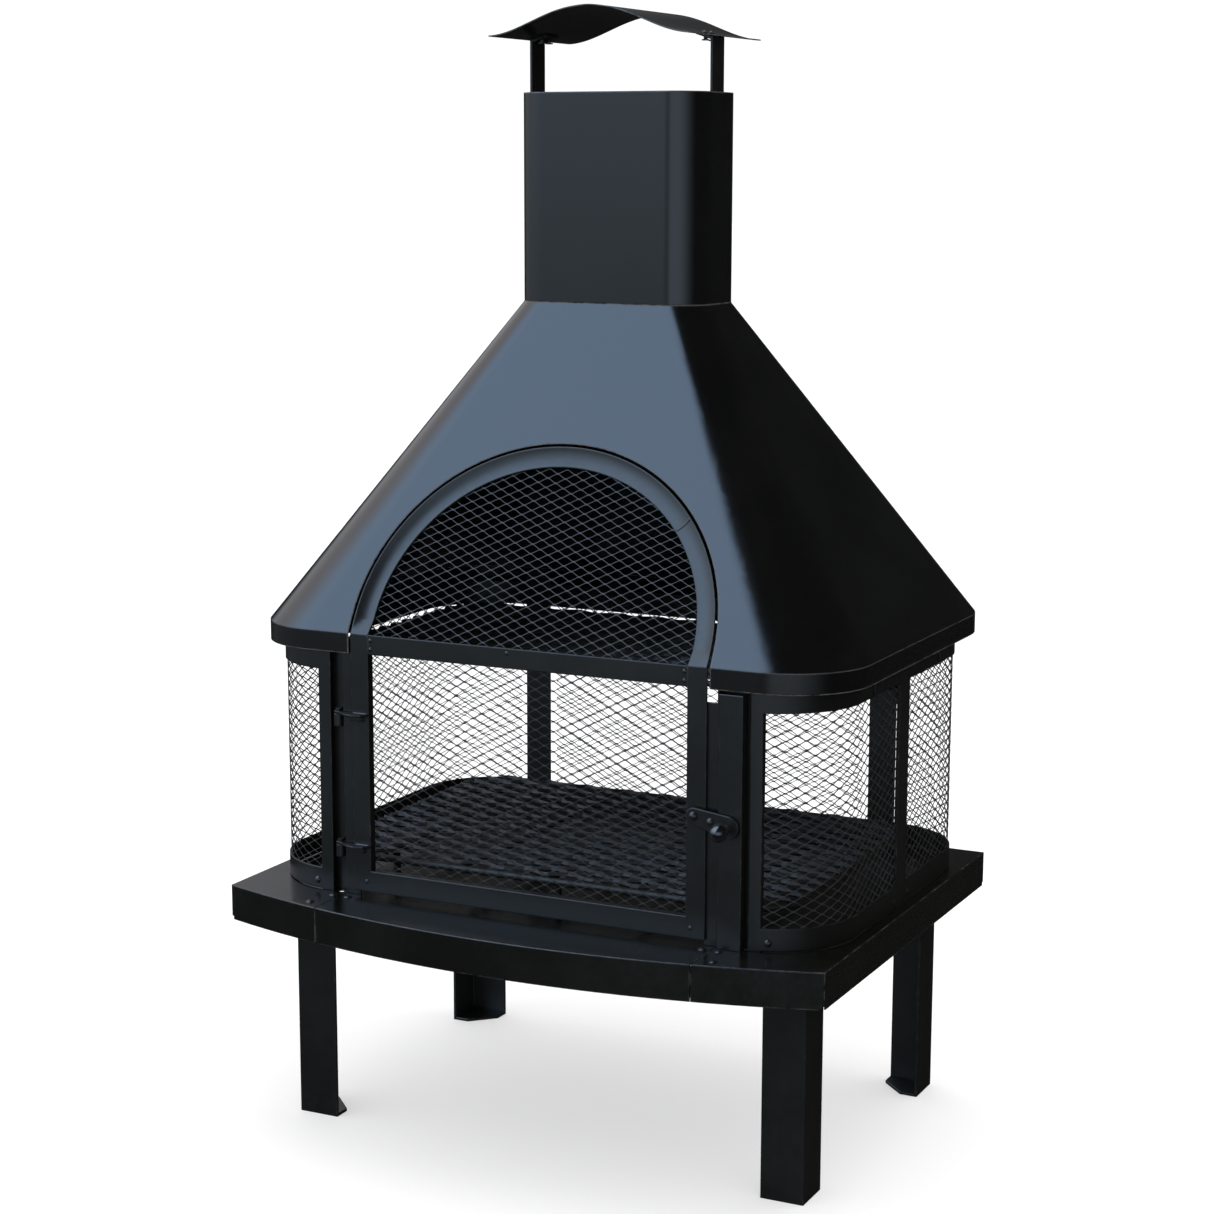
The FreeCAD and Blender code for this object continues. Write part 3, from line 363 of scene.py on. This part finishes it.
def outline(s):
    """Point and outward normal on the left half of the outline, s metres from the middle of the front."""
    arc = corner_r * math.pi / 2
    depth = out_rear - out_front - 2 * corner_r
    if s < flat_x:
        return Vector((-s, out_front, 0)), Vector((0, -1, 0))
    s -= flat_x
    if s < arc:
        a = s / corner_r
        n = Vector((-math.sin(a), -math.cos(a), 0))
        return Vector((-flat_x, out_front + corner_r, 0)) + n * corner_r, n
    s -= arc
    if s < depth:
        return Vector((-out_x, out_front + corner_r + s, 0)), Vector((-1, 0, 0))
    s -= depth
    a = min(s / corner_r, math.pi / 2)
    n = Vector((-math.cos(a), math.sin(a), 0))
    return Vector((-flat_x, out_rear - corner_r, 0)) + n * corner_r, n


def screen(node, side, s0, s1):
    low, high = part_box(node)

    def place(u, v):
        point, normal = outline(s0 + u)
        point = point + Vector((0, 0, low.z + v))
        if side > 0:
            point.x, normal.x = -point.x, -normal.x
        return point, normal

    lattice(node + "_expanded", node, place, lambda v: (0.0, s1 - s0), high.z - low.z, **SCREEN)


def s_at_front(x):
    return flat_x + corner_r * math.asin((abs(x) - flat_x) / corner_r)


def s_at_side(y):
    return flat_x + corner_r * math.pi / 2 + y - out_front - corner_r


def s_at_rear(x):
    turn = math.acos(min(1.0, (abs(x) - flat_x) / corner_r))
    return s_at_side(out_rear - corner_r) + corner_r * turn


for node, side in (("screen_front_left_mesh", -1), ("screen_front_right_mesh", 1)):
    low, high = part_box(node)
    screen(node, side, s_at_front(min(abs(low.x), abs(high.x))), s_at_side(high.y))
for node, side in (("screen_rear_left_mesh", -1), ("screen_rear_right_mesh", 1)):
    low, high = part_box(node)
    screen(node, side, s_at_side(low.y), s_at_rear(min(abs(low.x), abs(high.x))))


def flat_sheet(node, origin, u_axis, v_axis, normal, span, height, style):
    def place(u, v):
        return origin + u_axis * u + v_axis * v, normal
    return lattice(node + "_expanded", node, place, span, height, **style)


X, Y, Z = Vector((1, 0, 0)), Vector((0, 1, 0)), Vector((0, 0, 1))
low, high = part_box("screen_rear_mesh")
flat_sheet("screen_rear_mesh", Vector((low.x, (low.y + high.y) / 2, low.z)), X, Z, Y,
           lambda v: (0.0, high.x - low.x), high.z - low.z, SCREEN)
door_low, door_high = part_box("door_mesh_lower")
flat_sheet("door_mesh_lower", Vector((door_low.x, (door_low.y + door_high.y) / 2, door_low.z)), X, Z, -Y,
           lambda v: (0.0, door_high.x - door_low.x), door_high.z - door_low.z, SCREEN)

# The upper door mesh lies along the front slope of the hood.
hood_low, hood_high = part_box("hood")
flue_low, flue_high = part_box("chimney")
bend_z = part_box("door_crossbar")[1].z
slope = math.atan2((hood_high.y - hood_low.y) / 2 - (flue_high.y - flue_low.y) / 2, flue_low.z - bend_z)
up = Vector((0, math.sin(slope), math.cos(slope)))
out = Vector((0, -math.cos(slope), math.sin(slope)))
arch_low, arch_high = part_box("door_mesh_upper")
arch_r = (arch_high.x - arch_low.x) / 2
sheet_t = 2 * sheet_mid
foot = Vector((0, arch_low.y + sheet_t / 2 * math.cos(slope), arch_low.z + sheet_t / 2 * math.sin(slope)))
arch_top = (arch_high.z - arch_low.z) / math.cos(slope)
arch_leg = arch_top - arch_r


def arch_span(v):
    rise = max(0.0, v - arch_leg)
    if rise >= arch_r - CROWN_GAP:
        return None
    half = math.sqrt(arch_r * arch_r - rise * rise) - EDGE_TRIM
    return (-half, half)


flat_sheet("door_mesh_upper", foot, X, up, out, arch_span, arch_top, SCREEN)


def grate(node, corner):
    low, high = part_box(node)
    half_x, depth = (high.x - low.x) / 2, high.y - low.y

    def span(v):
        inset = 0.0
        near = min(v, depth - v)
        if near < corner:
            inset = corner - math.sqrt(max(0.0, corner * corner - (corner - near) ** 2))
        return (-half_x + inset, half_x - inset)

    flat_sheet(node, Vector((0, low.y, low.z + GRATE_RISE)), X, Y, Z, span, depth, GRATE)


grate("cooking_grate_mesh", COOKING_CORNER)
grate("log_grate_mesh", LOG_CORNER)


# ---- weld beads on the door ----------------------------------------------------------------------------
RIPPLE = 0.0016             # pitch of the ripples along a bead
BEAD_SIDES = 7
NEAR = 0.0002               # heights and depths this close count as the same


def bead(name, path, width, height, seed):
    """A weld bead: a low rippled ridge that tapers at both ends, along (point, normal) pairs."""
    rng = random.Random(seed)
    verts, faces = [], []
    count = len(path)
    travelled = 0.0
    for i, (point, normal) in enumerate(path):
        before, after = path[max(i - 1, 0)][0], path[min(i + 1, count - 1)][0]
        along = (after - before).normalized()
        across = along.cross(normal).normalized()
        travelled += (point - before).length
        taper = min(1.0, 0.25 + min(i, count - 1 - i) / 4.0)
        ripple = 0.78 + 0.22 * abs(math.sin(math.pi * travelled / RIPPLE))
        half = width / 2 * taper * rng.uniform(0.92, 1.08)
        top = height * taper * ripple * rng.uniform(0.94, 1.06)
        for j in range(BEAD_SIDES):
            a = math.pi * j / (BEAD_SIDES - 1)
            verts.append(point + across * (half * math.cos(a)) + normal * (top * math.sin(a) - 0.1 * height))
    for i in range(count - 1):
        for j in range(BEAD_SIDES):
            k = (j + 1) % BEAD_SIDES
            a, b = i * BEAD_SIDES, (i + 1) * BEAD_SIDES
            faces.append((a + j, b + j, b + k, a + k))
    faces.append(tuple(range(BEAD_SIDES)))
    faces.append(tuple(reversed(range((count - 1) * BEAD_SIDES, count * BEAD_SIDES))))
    obj = make_mesh(name, [tuple(v) for v in verts], faces)
    for face in obj.data.polygons:
        face.use_smooth = len(face.vertices) == 4
    dress(obj, WELD_PAINT)
    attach(obj, "door")
    return obj


def surface_of(node):
    mesh = NODES[node].data
    return BVHTree.FromPolygons([v.co for v in mesh.vertices], [p.vertices for p in mesh.polygons])


def steps(a, b, pitch=0.0004):
    count = max(2, round((b - a).length / pitch))
    return [a.lerp(b, i / count) for i in range(count + 1)]


# The arch bar is bent from two lengths, joined on the right: one bead runs across the hollow bar.
JOINT_ANGLE = math.radians(41.5)
BAR = 0.020                 # width of the door's bars
END_GAP = 0.0008            # the bead stops this short of the bar's edges
door_skin = surface_of("door_frame")
arch_middle = foot + up * arch_leg
frame_half = -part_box("door_crossbar")[0].x + BAR
radial = X * math.cos(JOINT_ANGLE) + up * math.sin(JOINT_ANGLE)
landed = []
inner_end = arch_middle + radial * (frame_half - BAR + END_GAP)
outer_end = arch_middle + radial * (frame_half - END_GAP)
for point in steps(inner_end, outer_end):
    place, normal, _, _ = door_skin.ray_cast(point + out * 0.05, -out)
    landed.append((place, normal))
bead("arch_weld", landed, 0.0036, 0.0007, 11)

# The crossbar is let in between the stiles.
bar_low, bar_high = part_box("door_crossbar")
for name, x, seed in (("left", bar_low.x, 21), ("right", bar_high.x, 22)):
    ends = Vector((x, bar_low.y, bar_low.z + 0.001)), Vector((x, bar_low.y, bar_high.z - 0.001))
    bead("crossbar_weld_" + name, [(p, -Y) for p in steps(*ends)], 0.0020, 0.0003, seed)

# A fillet along the top of each hinge plate, where it stands on the stile. Its plates meet the stile at
# three heights each, so the third and the sixth are their tops.
on_door = [v.co for v in NODES["hinge_plates"].data.vertices if abs(v.co.y - bar_low.y) < NEAR]
levels = sorted({round(p.z, 4) for p in on_door})
LOWER_TOP, UPPER_TOP = 2, 5
for name, level, seed in (("lower", levels[LOWER_TOP], 31), ("upper", levels[UPPER_TOP], 32)):
    across = [p.x for p in on_door if abs(p.z - level) < NEAR]
    ends = Vector((min(across) + 0.001, bar_low.y, level)), Vector((max(across) - 0.001, bar_low.y, level))
    bead("hinge_weld_" + name, [(p, (Z - Y).normalized()) for p in steps(*ends)], 0.0030, 0.0009, seed)

# ---- stage, light and camera ---------------------------------------------------------------------------
FLOOR = 40.0
floor = make_mesh("floor", [(-FLOOR, -FLOOR, 0), (FLOOR, -FLOOR, 0), (FLOOR, FLOOR, 0), (-FLOOR, FLOOR, 0)],
                  [(0, 1, 2, 3)])
floor_look = Look("pale_floor")
cement = floor_look.mix(floor_look.noise(0.7, 2.0), (0.61, 0.605, 0.605), (0.64, 0.635, 0.635))
floor_look.set(Base_Color=cement, Roughness=0.9, Emission_Color=(1, 1, 1, 1), Emission_Strength=0.47)
dress(floor, floor_look.mat)
floor.visible_glossy = False


def deg(value):
    return math.radians(value)


def studio():
    """White surroundings for the eye, an even fill for shade, and a soft blue glow to the front left, with
    a fainter band low down in front, that only reflections see. Azimuth is 0 in front of the door and grows
    to the right."""
    world = bpy.data.worlds.new("studio")
    scene.world = world
    world.use_nodes = True
    sky = Nodes(world.node_tree, "Generated")
    x, y, z = sky.split(sky.where)
    azimuth = sky.math("ARCTAN2", x, sky.math("MULTIPLY", y, -1.0, clamp=False), clamp=False)
    height = sky.math("ARCSINE", z, clamp=False)
    glow = sky.remap(azimuth, deg(-23), deg(-5), 1.0, 0.0)
    glow = sky.math("MULTIPLY", glow, sky.remap(azimuth, deg(-165), deg(-125), 0.0, 1.0))
    glow = sky.math("MULTIPLY", glow, sky.remap(height, deg(-19), deg(40), 0.0, 1.0))
    glow = sky.math("MULTIPLY", glow, sky.remap(azimuth, deg(-110), deg(-50), 0.55, 1.0))
    # Behind the object the glow stays above the horizon, where the underside of the cap can't see it.
    behind = sky.math("MAXIMUM", sky.remap(azimuth, deg(-130), deg(-100), 0.0, 1.0),
                      sky.remap(height, deg(3), deg(13), 0.0, 1.0))
    glow = sky.math("MULTIPLY", glow, behind)
    low = sky.math("MULTIPLY", sky.remap(height, deg(-17), deg(-6), 0.0, 1.0),
                   sky.remap(height, deg(10), deg(35), 1.0, 0.0))
    low = sky.math("MULTIPLY", low, sky.remap(azimuth, deg(-20), deg(0), 0.0, 1.0))
    low = sky.math("MULTIPLY", low, sky.remap(azimuth, deg(20), deg(80), LOW_SHARE, 0.0))
    glow = sky.math("MAXIMUM", glow, low)
    tint = sky.mix(sky.remap(azimuth, deg(-105), deg(-50), 1.0, 0.0), GLOW_BLUE, GLOW_WARM)
    tint = sky.mix(sky.remap(height, deg(-20), deg(30), 1.0, 0.0), tint, GLOW_LOW)
    seen_in_gloss = sky.mix(glow, DIM, tint)
    shades = []
    for colour, strength in (((1, 1, 1), 1.05), ((1, 1, 1), FILL), (seen_in_gloss, 1.0)):
        n = sky.tree.nodes.new("ShaderNodeBackground")
        sky.put(n.inputs[0], colour if isinstance(colour, bpy.types.NodeSocket) else (*colour, 1.0))
        n.inputs[1].default_value = strength
        shades.append(n.outputs[0])
    path = sky.tree.nodes.new("ShaderNodeLightPath")
    pick = shades[1]
    for ray, shade in (("Is Glossy Ray", shades[2]), ("Is Camera Ray", shades[0])):
        n = sky.tree.nodes.new("ShaderNodeMixShader")
        sky.link(path.outputs[ray], n.inputs[0])
        sky.link(pick, n.inputs[1])
        sky.link(shade, n.inputs[2])
        pick = n.outputs[0]
    out = sky.tree.nodes.new("ShaderNodeOutputWorld")
    sky.link(pick, out.inputs[0])


FILL = 1.10
LOW_SHARE = 0.32            # how bright the low part of the glow is
GLOW_BLUE = (2.45, 3.45, 4.90)
GLOW_WARM = (2.4, 2.3, 2.4)
GLOW_LOW = (3.2, 3.75, 4.1)
DIM = (0.014, 0.015, 0.014)
studio()

AIM = Vector((0, 0, cad_high.z * 0.6))     # what the softbox points at


def softbox(name, toward, distance, width, height, power, colour):
    data = bpy.data.lights.new(name, "AREA")
    data.shape = "RECTANGLE"
    data.size, data.size_y = width, height
    data.energy = power
    data.color = colour
    obj = bpy.data.objects.new(name, data)
    obj.location = AIM + Vector(toward).normalized() * distance
    obj.rotation_euler = (AIM - obj.location).to_track_quat("-Z", "Y").to_euler()
    obj.visible_camera = False
    obj.visible_glossy = False
    scene.collection.objects.link(obj)
    return obj


softbox("top", (0.05, 0.10, 1.0), 2.6, 2.2, 2.2, 22, (1.0, 0.99, 0.97))

CAM_AZ, CAM_EL, CAM_ROLL = math.radians(25.8), math.radians(10.5), math.radians(0.2)
CAM_LENS = 75.45
camera_data = bpy.data.cameras.new("camera")
camera_data.lens = CAM_LENS
camera_data.sensor_width = 36.0
camera_data.shift_x = -0.0170
camera_data.shift_y = 0.0251
camera = bpy.data.objects.new("camera", camera_data)
camera.location = (1.1420, -2.3203, 0.9885)
turn = Euler((math.pi / 2 - CAM_EL, 0, CAM_AZ)).to_matrix() @ Matrix.Rotation(CAM_ROLL, 3, "Z")
camera.rotation_euler = turn.to_euler()
scene.collection.objects.link(camera)
scene.camera = camera
scene.view_settings.view_transform = "Standard"
